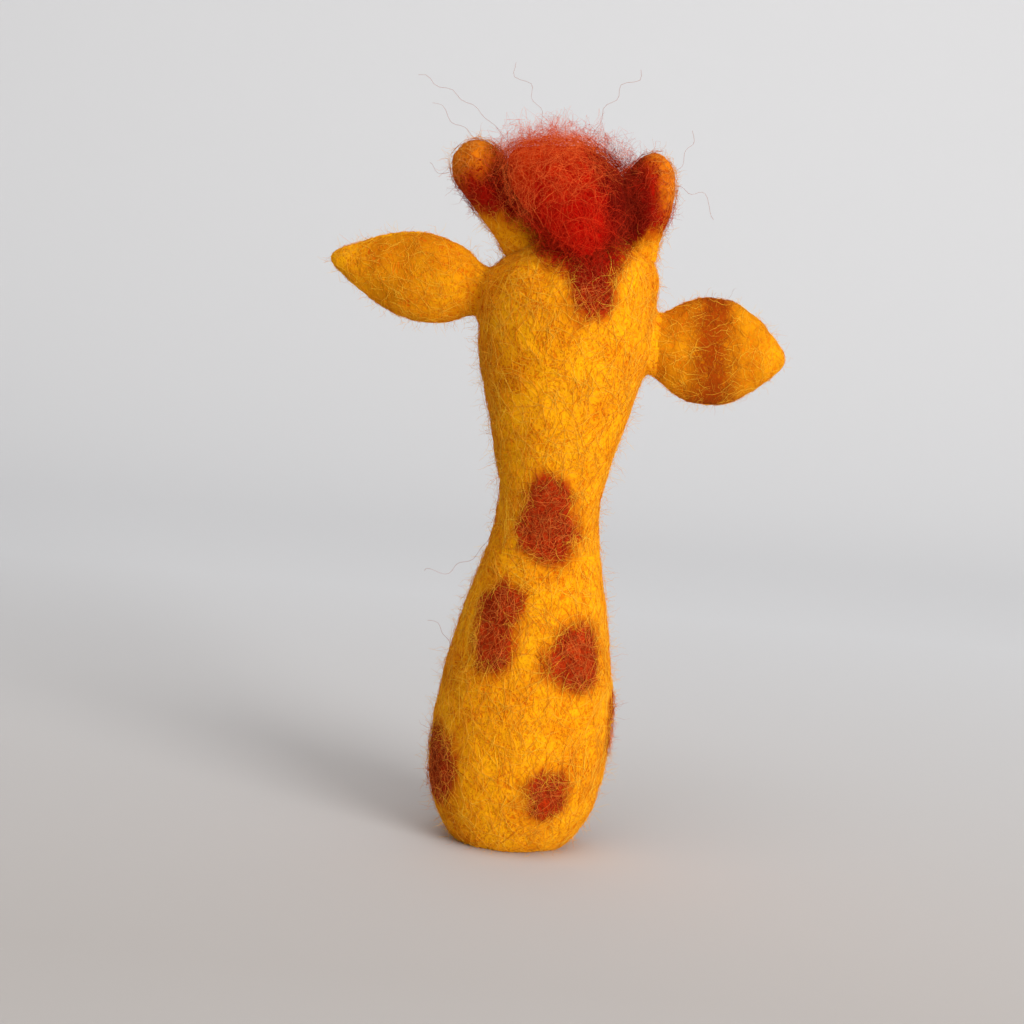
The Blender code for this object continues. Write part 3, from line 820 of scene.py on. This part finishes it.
def standing_hairs_tree():
    tree, given = new_geometry_tree(
        "standing_hairs", Density=7.0e5, Shortest=0.8 * MM, Longest=3.2 * MM, Thickness=0.016 * MM,
        Joints=6, Lean=1.7, Curl=1.7 * MM, Curl_size=1.3 * MM, Seed=1, Material=None,
    )
    points, normal = hairs_begin(tree, given)
    away = vector_maths(tree, "ADD", normal, scaled(tree, random_direction(tree, 22), given["Lean"]))
    turned = add_node(tree, "FunctionNodeAlignRotationToVector", {"Vector": away}, axis="Z")
    length = random_between(tree, given["Shortest"], given["Longest"], 32)
    line = hair_line(tree, (0.0, 0.0, 0.0), (0.0, 0.0, 1.0), given["Joints"])
    placed = add_node(
        tree, "GeometryNodeInstanceOnPoints",
        {"Points": points, "Instance": line, "Rotation": turned.outputs[0], "Scale": length},
    )
    curves = add_node(tree, "GeometryNodeRealizeInstances", {"Geometry": placed.outputs[0]}).outputs[0]
    own_seed = maths(tree, "MULTIPLY", stored_number(tree, "tone"), TONE_TO_SEED)
    frequency = maths(tree, "DIVIDE", 1.0, given["Curl size"])
    curl = noise_vector(tree, position(tree), frequency, own_seed)
    share = tree.nodes.new("GeometryNodeSplineParameter").outputs["Factor"]
    reach = maths(tree, "MULTIPLY", given["Curl"], share)
    hairs_end(tree, given, moved(tree, curves, "Offset", scaled(tree, curl, reach)))
    return tree


STANDING_HAIRS = standing_hairs_tree()

# %% [markdown]
# ## Body, head and ears
#
# The body, the neck, the head and the ears are one felted piece, so they get one skin. Every spot is in
# it. Near its root each ear flares a little into the head, which closes the seam. The hairs are combed on
# region by region, so that no piece grows too heavy and the ears' hairs run along the ears.

# %% Flare a solid into the wool that it grows from
BODY_MIDDLE = Vector((-0.0006, 0.0065, 0.0))
HOLE_MIDDLE = np.array((0.00031, 0.00601))
FINGER_HOLE_REACH = 7.9 * MM
FINGER_HOLE_TOP = 45.0 * MM
NECK_HEIGHT = 50.0 * MM
FLARE_REACH = 2.4 * MM
FLARE_HEIGHT = 0.75 * MM


def surface_of(*nodes):
    """A search tree over some solids' surfaces."""
    shape = bmesh.new()
    for node in nodes:
        shape.from_mesh(frame["nodes"][node].data)
    tree = BVHTree.FromBMesh(shape)
    shape.free()
    return tree


def distance_to(places, *nodes):
    """The distance in mm from each place to the nearest of some solids."""
    tree = surface_of(*nodes)
    return np.array([tree.find_nearest(Vector(place))[3] for place in places]) / MM


def rooted_copy(node, ground, growth=0.0):
    """A solid that widens where it comes near the ground."""
    shape = merged_copy(node, growth)
    for vert in shape.verts:
        nearness = max(0.0, 1.0 - ground.find_nearest(vert.co)[3] / FLARE_REACH)
        vert.co += vert.normal * (FLARE_HEIGHT * nearness**2)
    return shape


BODY_SURFACE = surface_of("body")

# %% Measure the dyes of the skin
BLUSH_REACH = 2.5
SOFTER = 0.7  # a distance that grows more slowly makes a softer edge


def outwards_of(node):
    """The level direction from the middle of the neck to a spot."""
    low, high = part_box(node)
    out = (low + high) / 2 - BODY_MIDDLE
    out.z = 0.0
    return out.normalized()


def spot_edge(places):
    edge = np.full(len(places), FAR_FROM_DYE)
    for node in SPOT_NODES:
        edge = np.minimum(edge, distance_to_patch(places, node, outwards_of(node)))
    return edge


def band_edge(places, side, forwards, band_middle, band_width, faintest, shade_haze):
    """An ear's lining in front, and a band across its back at a share of the ear's length.

    The dye in the band never gets stronger than the faintest value allows, and haze is the most that the
    rest of the ear may be free of it."""
    low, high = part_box(f"{side}_ear")
    root, tip = (low.x, high.x) if side == "left" else (high.x, low.x)
    middle = np.array((low + high) / 2)
    share = (places[:, 0] - root) / (tip - root)
    lean = (places[:, 2] - middle[2]) / MM * 0.10
    band = np.abs((share - band_middle) * abs(tip - root) / MM + lean) - band_width / 2
    ahead = ((places - middle) @ np.array(forwards)) / MM
    # Painted shade: the haze spreads a faint band dye over most of the ear to darken it, and clears towards
    # the tip, which stays lighter where the light falls.
    shade_haze = shade_haze + 4.0 * np.maximum(0.0, share - 0.7)
    band = np.where(share > 0.06, np.minimum(band * 0.30, shade_haze), band)
    band = np.where(ahead > 0.5, FAR_FROM_DYE, np.maximum(band, faintest))
    lining = distance_to_patch(places, f"{side}_ear_lining", forwards, 1.5 * MM)
    return np.minimum(band, lining)


def blush_edge(places):
    """Red wool from the tuft is felted into the head round it."""
    return (distance_to(places, "tuft") - BLUSH_REACH) * SOFTER


LEFT_EAR_FRONT = Vector((-0.07, -1.0, 0.0)).normalized()
RIGHT_EAR_FRONT = Vector((0.375, -0.927, 0.0)).normalized()

# %% Felt the body, the head and the ears


def keep_above_floor(mesh):
    places = places_of(mesh)
    places[:, 2] = np.maximum(places[:, 2], 0.0)
    mesh.vertices.foreach_set("co", places.astype(np.float32).ravel())


def felted(name, shapes, dyes, material, voxel=SKIN_VOXEL, smoothing=6, **lumps):
    """A skin round some shapes, made lumpy, with the outlines of its dyes written on it."""
    skin = wrapped(joined(shapes, name), voxel, smoothing)
    skin = run_tree(LUMPY_FELT, skin, name, **lumps)
    keep_above_floor(skin)
    places = places_of(skin)
    for outline, measure in dyes.items():
        write_number(skin, outline, measure(places))
    skin.materials.clear()
    skin.materials.append(material)
    skin.shade_smooth()
    print(name, "has", len(skin.polygons), "faces")
    return add_object(name, skin)


def inlay_copies():
    copies = []
    for node in SPOT_NODES:
        copies.append(merged_copy(node, PATCH_GROWTH, outwards_of(node) * -0.3 * MM))
    for node in ("left_nostril", "right_nostril"):
        copies.append(merged_copy(node, 0.35 * MM, Vector((0.0, 0.3, 0.1)) * MM))
    for side, front in (("left", LEFT_EAR_FRONT), ("right", RIGHT_EAR_FRONT)):
        copies.append(rooted_copy(f"{side}_ear", BODY_SURFACE))
        copies.append(merged_copy(f"{side}_ear_lining", 0.4 * MM, front * -0.25 * MM))
    return copies


def both_bands(places):
    left = band_edge(
        places, "left", LEFT_EAR_FRONT, band_middle=0.54, band_width=5.0, faintest=0.7, shade_haze=1.2
    )
    right = band_edge(
        places, "right", RIGHT_EAR_FRONT, band_middle=0.45, band_width=7.0, faintest=-1.1, shade_haze=0.5
    )
    return np.minimum(left, right)


SKIN_DYES = {"spot_edge": spot_edge, "band_edge": both_bands, "blush_edge": blush_edge}
puppet_felt = felted("puppet_felt", [merged_copy("body")] + inlay_copies(), SKIN_DYES, gold_felt)

# %% Comb hairs onto the skin


def part_of(mesh, kept):
    """A copy of a skin with only the vertices that are kept."""
    shape = bmesh.new()
    shape.from_mesh(mesh)
    shape.verts.ensure_lookup_table()
    lost = [vert for vert, keep in zip(shape.verts, kept) if not keep]
    bmesh.ops.delete(shape, geom=lost, context="VERTS")
    return mesh_of(shape, "hair_ground")


def comb(name, ground, tree, material, **values):
    """Hairs grown on a skin by one of the two trees, as a piece of their own."""
    mesh = run_tree(tree, ground, name, Material=material, **values)
    print(name, "has", len(mesh.polygons), "faces")
    return add_object(name, mesh)


EAR_SEAM, EAR_REACH, SPOT_REACH = 0.6, 1.6, 0.6  # mm from the ears, and past a spot's outline
skin_places = places_of(puppet_felt.data)
height = skin_places[:, 2]
from_hole = np.linalg.norm(skin_places[:, :2] - HOLE_MIDDLE, axis=1)
in_the_open = (from_hole > FINGER_HOLE_REACH) | (height > FINGER_HOLE_TOP) | (height < 1.5 * MM)
from_ears = distance_to(skin_places, "left_ear", "right_ear")
lower_skin = part_of(puppet_felt.data, in_the_open & (height < NECK_HEIGHT))
upper_skin = part_of(puppet_felt.data, in_the_open & (height >= NECK_HEIGHT) & (from_ears > EAR_SEAM))
ear_skin = part_of(puppet_felt.data, from_ears < EAR_REACH)
spot_skin = part_of(puppet_felt.data, in_the_open & (spot_edge(skin_places) < SPOT_REACH))
ALONG_THE_EARS = (1.0, 0.0, 0.0)
LOOSE_CURLS = {
    "Shortest": 6 * MM, "Longest": 12 * MM, "Joints": 9, "Lowest": 0.15 * MM, "Highest": 0.5 * MM,
    "End_lift": 1.2 * MM, "Bend": 2.4 * MM, "Bend_size": 3.2 * MM, "Lay_strength": 0.4,
    "Thickness": 0.026 * MM, "Density": 8.0e4,
}
SPOT_CURLS = {
    "Shortest": 1.4 * MM, "Longest": 3.4 * MM, "Lowest": 0.12 * MM, "Highest": 0.45 * MM,
    "End_lift": 0.8 * MM, "Bend": 1.3 * MM, "Bend_size": 1.0 * MM, "Lay_strength": 0.0,
    "Thickness": 0.032 * MM, "Density": 1.8e6,
}
gold_hairs = [
    comb("body_nap", lower_skin, LYING_HAIRS, gold_hair, Seed=5),
    comb("head_nap", upper_skin, LYING_HAIRS, gold_hair, Seed=6),
    comb(
        "ear_nap", ear_skin, LYING_HAIRS, gold_hair, Seed=12, Lay=ALONG_THE_EARS, Thickness=0.032 * MM,
        Shortest=1.8 * MM, Longest=5.0 * MM, Bend=1.3 * MM, Bend_size=1.4 * MM,
    ),
    comb("body_halo", lower_skin, STANDING_HAIRS, gold_hair, Seed=7),
    comb("head_halo", upper_skin, STANDING_HAIRS, gold_hair, Seed=8),
    comb(
        "ear_halo", ear_skin, STANDING_HAIRS, gold_hair, Seed=13, Density=1.3e6, Joints=4,
        Shortest=0.6 * MM, Longest=2.6 * MM,
    ),
    comb("body_curls", lower_skin, LYING_HAIRS, gold_hair, Seed=9, **LOOSE_CURLS),
    comb("head_curls", upper_skin, LYING_HAIRS, gold_hair, Seed=10, **LOOSE_CURLS),
    comb("spot_curls", spot_skin, LYING_HAIRS, gold_hair, Seed=14, **SPOT_CURLS),
]

# %% [markdown]
# ## Horns
#
# The horns are little clubs of dark red wool with an ochre tip. At the root the head's gold wool was
# pulled up round them, so their ground colour is gold and they flare into the head as the ears do.

# %% Felt the horns


def horn_dyes(side, tip_length, root_length, slant, blush_shift):
    """Red above the root, ochre at the tip, which reaches lower on the side that the slant favours, and the
    darkest red near the tuft as painted shade.
    """
    corners = corners_of(f"{side}_horn")
    lowest, top = corners[:, 2].min(), corners[corners[:, 2].argmax()]

    def horn_edge(places):
        return root_length - (places[:, 2] - lowest) / MM

    def tip_edge(places):
        down = (top[2] - places[:, 2]) / MM
        across = (places[:, 0] - top[0]) / MM
        return (down - tip_length - slant * across) / math.hypot(1.0, slant) * SOFTER

    # Red wool from the tuft, painted in the darkest red as the shade where horn and tuft meet.
    def tuft_red_and_shade(places):
        return blush_edge(places) + blush_shift

    return {"horn_edge": horn_edge, "tip_edge": tip_edge, "blush_edge": tuft_red_and_shade}


def felt_horn(side, **measures):
    shapes = [rooted_copy(f"{side}_horn", BODY_SURFACE, 0.1 * MM)]
    dyes = horn_dyes(side, **measures)
    return felted(
        f"{side}_horn_felt", shapes, dyes, horn_felt, 0.42 * MM, 4,
        Lump_height=0.16 * MM, Lump_size=3.0 * MM, Pit_height=0.08 * MM,
    )


left_horn_felt = felt_horn("left", tip_length=4.4, root_length=5.8, slant=0.6, blush_shift=1.2)
right_horn_felt = felt_horn("right", tip_length=3.6, root_length=4.4, slant=-2.0, blush_shift=0.0)
horn_hairs = []
for side, felt, seed in (("left", left_horn_felt, 22), ("right", right_horn_felt, 24)):
    nap = comb(
        f"{side}_horn_nap", felt.data, LYING_HAIRS, horn_hair, Seed=seed, Density=1.3e6,
        Shortest=1.6 * MM, Longest=4.2 * MM, Highest=0.5 * MM, End_lift=0.8 * MM, Bend=1.3 * MM,
        Bend_size=1.0 * MM, Lay_strength=0.1, Thickness=0.034 * MM,
    )
    halo = comb(
        f"{side}_horn_halo", felt.data, STANDING_HAIRS, horn_hair, Seed=seed + 1, Density=1.2e6,
        Longest=3.2 * MM, Lean=2.2,
    )
    horn_hairs += [nap, halo]

# %% [markdown]
# ## The tuft
#
# The tuft is loose roving, hardly felted: a dark red heart with long curly hairs wound all over it. The
# hairs use the same tree as the nap, with more length, more bend and a higher lift.

# %% Wind the tuft


def deep_red_and_shade_edge(places):
    """Deeper red low down, and deeper red towards the right horn, which is painted shade beside the horn.
    """
    low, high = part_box("tuft")
    up = (places[:, 2] - low.z) / MM
    left = (places[:, 0] - (low.x + high.x) / 2) / MM
    # The second term is painted shade: the tuft turns deeper red towards the right horn, where it lies in
    # shadow.
    return (up - 15.0) * 0.20 + left * 0.10


def painted_shade_edge(places):
    """Painted shade in the darkest red, in the crevice between the tuft and the right horn and under the
    tuft.
    """
    up = (places[:, 2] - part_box("tuft")[0].z) / MM
    return np.minimum(distance_to(places, "right_horn") - 6.6, up - 1.5) * SOFTER


TUFT_OUTLINES = {"deep_red_and_shade_edge": deep_red_and_shade_edge, "painted_shade_edge": painted_shade_edge}
tuft_heart = felted(
    "tuft_heart", [merged_copy("tuft", -1.1 * MM)], TUFT_OUTLINES, tuft_felt, 0.5 * MM, 8,
    Lump_height=0.6 * MM, Lump_size=4.0 * MM, Pit_height=0.15 * MM,
)
CLOUD_DEPTH, CLOUD_DEPTH_BY_HORN = 5.5, 9.0
heart_places = places_of(tuft_heart.data)
below_top = (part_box("tuft")[1].z - heart_places[:, 2]) / MM
near_right_horn = distance_to(heart_places, "right_horn") < CLOUD_DEPTH
in_the_cloud = (below_top < CLOUD_DEPTH) | near_right_horn & (below_top < CLOUD_DEPTH_BY_HORN)
cloud_ground = part_of(tuft_heart.data, in_the_cloud)
# The cloud's hairs get none of the painted shade.
write_number(cloud_ground, "painted_shade_edge", np.full(len(cloud_ground.vertices), FAR_FROM_DYE))
tuft_hairs = [
    comb(
        "tuft_winding", tuft_heart.data, LYING_HAIRS, tuft_hair, Seed=31, Density=2.6e6,
        Shortest=3 * MM, Longest=8 * MM, Joints=7, Lowest=0.1 * MM, Highest=1.6 * MM, Thickness=0.028 * MM,
        End_lift=1.0 * MM, Bend=1.8 * MM, Bend_size=2.0 * MM, Wave=0.6, Lay_strength=0.5,
    ),
    comb(
        "tuft_wisps", tuft_heart.data, LYING_HAIRS, tuft_hair, Seed=33, Density=4.4e5,
        Shortest=5 * MM, Longest=10 * MM, Joints=11, Lowest=1.2 * MM, Highest=3.2 * MM,
        End_lift=1.6 * MM, Bend=3.0 * MM, Bend_size=2.0 * MM, Wave=1.0, Lay_strength=0.0,
        Thickness=0.018 * MM,
    ),
    comb(
        "tuft_cloud", cloud_ground, LYING_HAIRS, tuft_hair, Seed=37, Density=8.0e5,
        Shortest=4 * MM, Longest=9 * MM, Joints=12, Lowest=1.8 * MM, Highest=3.8 * MM,
        End_lift=1.0 * MM, Bend=3.2 * MM, Bend_size=1.5 * MM, Wave=1.6, Lay_strength=0.0,
        Thickness=0.015 * MM,
    ),
    comb(
        "tuft_halo", tuft_heart.data, STANDING_HAIRS, tuft_hair, Seed=35, Density=8.0e5, Joints=6,
        Shortest=1.5 * MM, Longest=4.5 * MM, Curl=2.6 * MM, Curl_size=1.6 * MM, Lean=1.6,
    ),
]

# %% [markdown]
# Loose red hairs also lie on the head and the horns close to the tuft, so that it has no clear end.

# %% Spread the tuft's hairs over what it touches
SKIRT_REACH = 3.2
SKIRT_HAIRS = {
    "Density": 1.1e6, "Shortest": 3 * MM, "Longest": 7 * MM, "Joints": 7, "Lowest": 0.1 * MM,
    "Highest": 1.0 * MM, "End_lift": 0.9 * MM, "Bend": 1.8 * MM, "Bend_size": 2.0 * MM,
    "Thickness": 0.028 * MM, "Lay_strength": 0.4,
}
for felt, seed in ((puppet_felt, 51), (left_horn_felt, 52), (right_horn_felt, 53)):
    near_tuft = distance_to(places_of(felt.data), "tuft") < SKIRT_REACH
    ground = part_of(felt.data, near_tuft)
    places = places_of(ground)
    for outline, measure in TUFT_OUTLINES.items():
        write_number(ground, outline, measure(places))
    tuft_hairs.append(
        comb(f"{felt.name}_skirt", ground, LYING_HAIRS, tuft_hair, Seed=seed, **SKIRT_HAIRS)
    )

# %% [markdown]
# ## Stray hairs
#
# A few long hairs have come loose and hang in the air round the puppet. Each is drawn between two places,
# with a bow to one side and a curl that widens towards its free end. They are single, so no tree is needed.

# %% Pull a few long hairs loose
STRAY_JOINTS = 22
STRAY_THICKNESS = 0.022 * MM
STRAY_CURL_PITCH = 5.0
STRAY_HAIRS = (
    ((12, -1, 115), (27, -4, 125), 1.5, 0.5),
    ((11, -2, 117), (24, -2, 121), -2.0, 0.6),
    ((6, -2, 119), (12, -4, 128), 1.6, 1.0),
    ((-4, -2, 117), (-10, -4, 129), -1.8, 0.9),
    ((-12, -1, 112), (-19, -2, 120), 2.0, 0.7),
    ((-14, -1, 109), (-24, 0, 107), -2.6, 1.2),
    ((19, 0, 101), (24, 1, 110), 1.5, 0.9),
    ((-9, 6, 83), (-13, 8, 75), 1.6, 0.8),
    ((14, 8, 52), (18, 9, 44), -1.6, 0.9),
    ((-11, 8, 26), (-16, 9, 21), 1.8, 0.8),
    ((12, 7, 30), (17, 9, 36), 1.7, 0.8),
)  # near its root, its tip, its bow and its curl, in mm
WOOL_SURFACE = surface_of("body", "left_horn", "right_horn", "tuft")


def stray_hair(root, tip, bow, curl):
    """The joints of a hair from the wool nearest to its root to its tip, both in mm."""
    root, tip = WOOL_SURFACE.find_nearest(Vector(root) * MM)[0] / MM, Vector(tip)
    way = tip - root
    aside = way.cross(Vector((0.0, 1.0, 0.0))).normalized()
    for joint in range(STRAY_JOINTS):
        share = joint / (STRAY_JOINTS - 1)
        turn = math.tau * share * way.length / STRAY_CURL_PITCH
        offset = aside * (bow * math.sin(math.pi * share) + curl * share * math.sin(turn))
        offset.y += curl * share * (math.cos(turn) - 1.0)
        yield (root + way * share + offset) * MM


strays = bpy.data.curves.new("stray_hairs", "CURVE")
strays.dimensions = "3D"
strays.bevel_depth = STRAY_THICKNESS
strays.bevel_resolution = 0
strays.use_fill_caps = True
for stray in STRAY_HAIRS:
    line = strays.splines.new("POLY")
    line.points.add(STRAY_JOINTS - 1)
    for point, place in zip(line.points, stray_hair(*stray)):
        point.co = (*place, 1.0)
stray_mesh = evaluated_mesh(add_object("stray_holder", strays), "stray_hairs")
write_number(stray_mesh, "tone", np.full(len(stray_mesh.vertices), 0.1))
for outline, dye in PUPPET_DYES:
    edge = -FAR_FROM_DYE if dye == "rust" else FAR_FROM_DYE
    write_number(stray_mesh, outline, np.full(len(stray_mesh.vertices), edge))
stray_mesh.materials.append(gold_hair)
stray_mesh.shade_smooth()
stray_hairs = add_object("stray_hairs", stray_mesh)
gold_hairs.append(stray_hairs)

# %% [markdown]
# ## Eyes and nostrils
#
# The eyes are round glass-like beads sewn deep into the felt, and the nostrils are dabs of dark wool.

# %% Set the eyes
DUST_SIZE = 0.6 * MM
BEAD_TONES = ((16, 13, 13), (34, 27, 25))
bead, bead_tree, bead_shader = new_material("black_bead")
dust = noise_value(bead_tree, object_place(bead_tree), 1 / DUST_SIZE, 2.0, 3.0)
bead_colour = mixed(bead_tree, dust, *[colour_of(*tone) for tone in BEAD_TONES])
bead_tree.links.new(bead_colour, bead_shader.inputs["Base Color"])
bead_tree.links.new(
    add_node(bead_tree, "ShaderNodeMapRange", {"Value": dust, "To Min": 0.06, "To Max": 0.22}).outputs[0],
    bead_shader.inputs["Roughness"],
)
bead_shader.inputs["Coat Weight"].default_value = 0.6
bead_shader.inputs["Coat Roughness"].default_value = 0.05


def bead_eye(side):
    low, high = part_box(f"{side}_eye")
    shape = bmesh.new()
    bmesh.ops.create_uvsphere(shape, u_segments=32, v_segments=20, radius=(high - low).x / 2)
    bmesh.ops.translate(shape, verts=shape.verts, vec=(low + high) / 2)
    mesh = mesh_of(shape, f"{side}_bead")
    mesh.materials.append(bead)
    mesh.shade_smooth()
    return add_object(f"{side}_bead", mesh)


beads = [bead_eye("left"), bead_eye("right")]

# %% Dab the nostrils
dabs = []
for side, seed in (("left", 41), ("right", 43)):
    dab_shape = merged_copy(f"{side}_nostril", 0.25 * MM, Vector((0.0, -0.25, -0.05)) * MM)
    dab = felted(
        f"{side}_dab", [dab_shape], {}, dab_felt, 0.16 * MM, 3,
        Lump_height=0.05 * MM, Lump_size=1.0 * MM, Pit_height=0.03 * MM,
    )
    nap = comb(
        f"{side}_dab_nap", dab.data, LYING_HAIRS, dab_hair, Seed=seed, Density=3.0e6,
        Shortest=0.8 * MM, Longest=1.8 * MM,
    )
    dabs.append((dab, nap))

# %% [markdown]
# ## Hand the pieces over
#
# Every piece rides on the one body of the frame and takes the place of the solids that it was made from,
# which are hidden. The hairs hide no solid: they belong to the felt that they lie on.

# %% Ride, and hide the solids


def hand_over(piece, slot, *nodes):
    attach(piece, "root")
    if nodes:
        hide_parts(*nodes)


EAR_NODES = ("left_ear", "right_ear", "left_ear_lining", "right_ear_lining")
hand_over(puppet_felt, "gold_wool", "body", *EAR_NODES, *SPOT_NODES)
hand_over(left_horn_felt, "horn_wool", "left_horn")
hand_over(right_horn_felt, "horn_wool", "right_horn")
hand_over(tuft_heart, "red_wool", "tuft")
for hairs, slot in ((gold_hairs, "gold_wool"), (horn_hairs, "horn_wool"), (tuft_hairs, "red_wool")):
    for piece in hairs:
        hand_over(piece, slot)
for piece, side in zip(beads, ("left", "right")):
    hand_over(piece, "black_bead", f"{side}_eye")
for (dab, nap), side in zip(dabs, ("left", "right")):
    hand_over(dab, "dark_wool", f"{side}_nostril")
    hand_over(nap, "dark_wool")
sweep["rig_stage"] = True

# %% Count the triangles that were added
total = 0
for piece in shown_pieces():
    if "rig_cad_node" not in piece:
        piece.data.calc_loop_triangles()
        total += len(piece.data.loop_triangles)
print("triangles added:", total)
